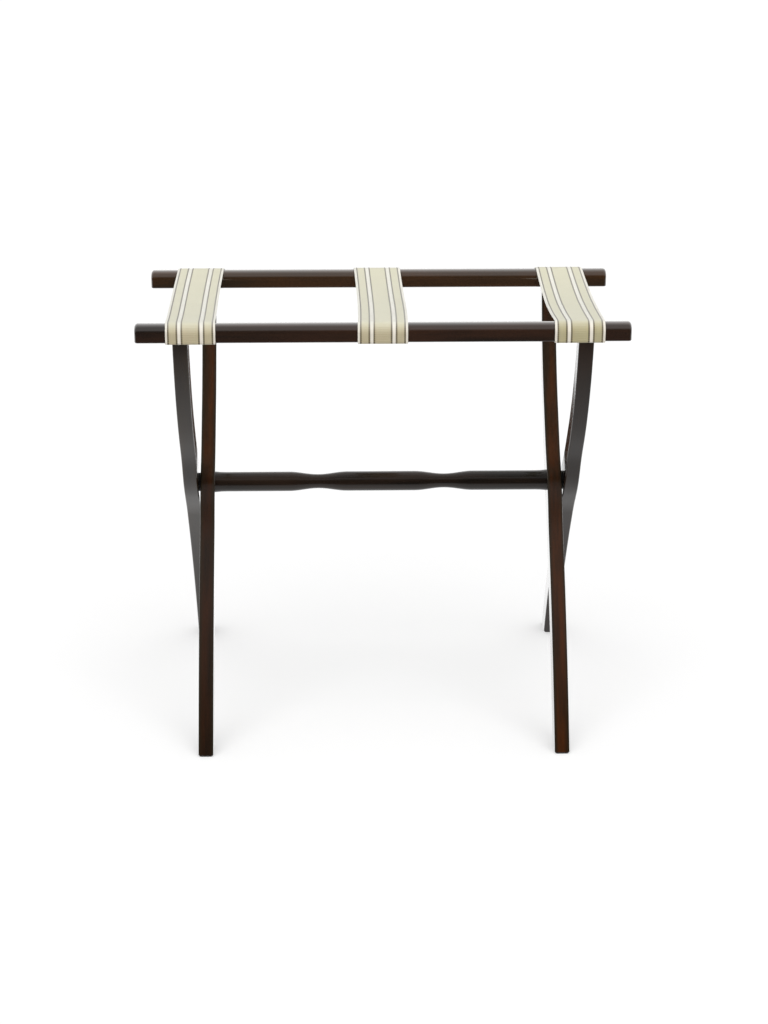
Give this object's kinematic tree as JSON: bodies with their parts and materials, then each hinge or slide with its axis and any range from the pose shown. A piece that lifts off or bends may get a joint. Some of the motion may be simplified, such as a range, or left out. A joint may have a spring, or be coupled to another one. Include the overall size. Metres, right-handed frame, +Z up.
{
  "type": "luggage bench",
  "caption": "Folding wooden luggage bench: two crossed curved-leg frames hinged at a turned stretcher, with striped webbing straps over the two top rails.",
  "frame": {"origin": "on the floor, midway between the four feet and straight under the pivots", "axes": "+X along the rails to the right, +Y from the front rail to the rear rail, +Z up"},
  "size_m": [0.61, 0.4286, 0.5525],
  "materials": {
    "stained_wood": "dark reddish-brown stain under gloss lacquer",
    "dowel_wood": "plain beech, unfinished",
    "steel_fasteners": "zinc plated",
    "brass_inserts": "turned",
    "pivot_plastic": "black nylon",
    "glide_plastic": "dark moulded",
    "strap_webbing": "woven webbing, beige and off-white bands with thin dark lines",
    "strap_tack_metal": "antiqued tack heads"
  },
  "bodies": {
    "inner_frame": {"rear_rail": "stained_wood", "inner_leg_left": "stained_wood", "inner_leg_right": "stained_wood", "stretcher": "stained_wood", "pivot_insert_left": "brass_inserts", "pivot_insert_right": "brass_inserts", "pivot_bolt_left": "steel_fasteners", "pivot_bolt_right": "steel_fasteners", "pivot_washer_left": "steel_fasteners", "pivot_washer_right": "steel_fasteners", "pivot_spacer_left": "pivot_plastic", "pivot_spacer_right": "pivot_plastic", "rear_rail_screws": "steel_fasteners", "rear_rail_dowels": "dowel_wood", "strap_tacks_rear": "strap_tack_metal", "foot_glide_front_left": "glide_plastic", "foot_glide_front_right": "glide_plastic"},
    "outer_frame": {"front_rail": "stained_wood", "outer_leg_left": "stained_wood", "outer_leg_right": "stained_wood", "front_rail_screws": "steel_fasteners", "front_rail_dowels": "dowel_wood", "strap_tacks_front": "strap_tack_metal", "foot_glide_rear_left": "glide_plastic", "foot_glide_rear_right": "glide_plastic"},
    "straps_rear": {"strap_left_rear": "strap_webbing", "strap_centre_rear": "strap_webbing", "strap_right_rear": "strap_webbing"},
    "straps_front": {"strap_left_front": "strap_webbing", "strap_centre_front": "strap_webbing", "strap_right_front": "strap_webbing"}
  },
  "joints": [
    {"name": "fold", "type": "hinge", "parent": "inner_frame", "child": "outer_frame", "pos_m": [0, 0, 0.2975], "axis": [-1, 0, 0], "range_deg": [0, 51]},
    {"name": "straps_rear_drop", "type": "hinge", "parent": "inner_frame", "child": "straps_rear", "pos_m": [0, 0.13428, 0.5392], "axis": [1, 0, 0], "range_deg": [0, 58.9], "deforming": ["strap_left_rear", "strap_centre_rear", "strap_right_rear"]},
    {"name": "straps_front_drop", "type": "hinge", "parent": "outer_frame", "child": "straps_front", "pos_m": [0, -0.13428, 0.5392], "axis": [-1, 0, 0], "range_deg": [0, 58.9], "deforming": ["strap_left_front", "strap_centre_front", "strap_right_front"]}
  ],
  "couplings": [
    {"joint": "straps_rear_drop", "follows": "fold", "ratio": 1.1451},
    {"joint": "straps_front_drop", "follows": "fold", "ratio": 1.1451}
  ]
}
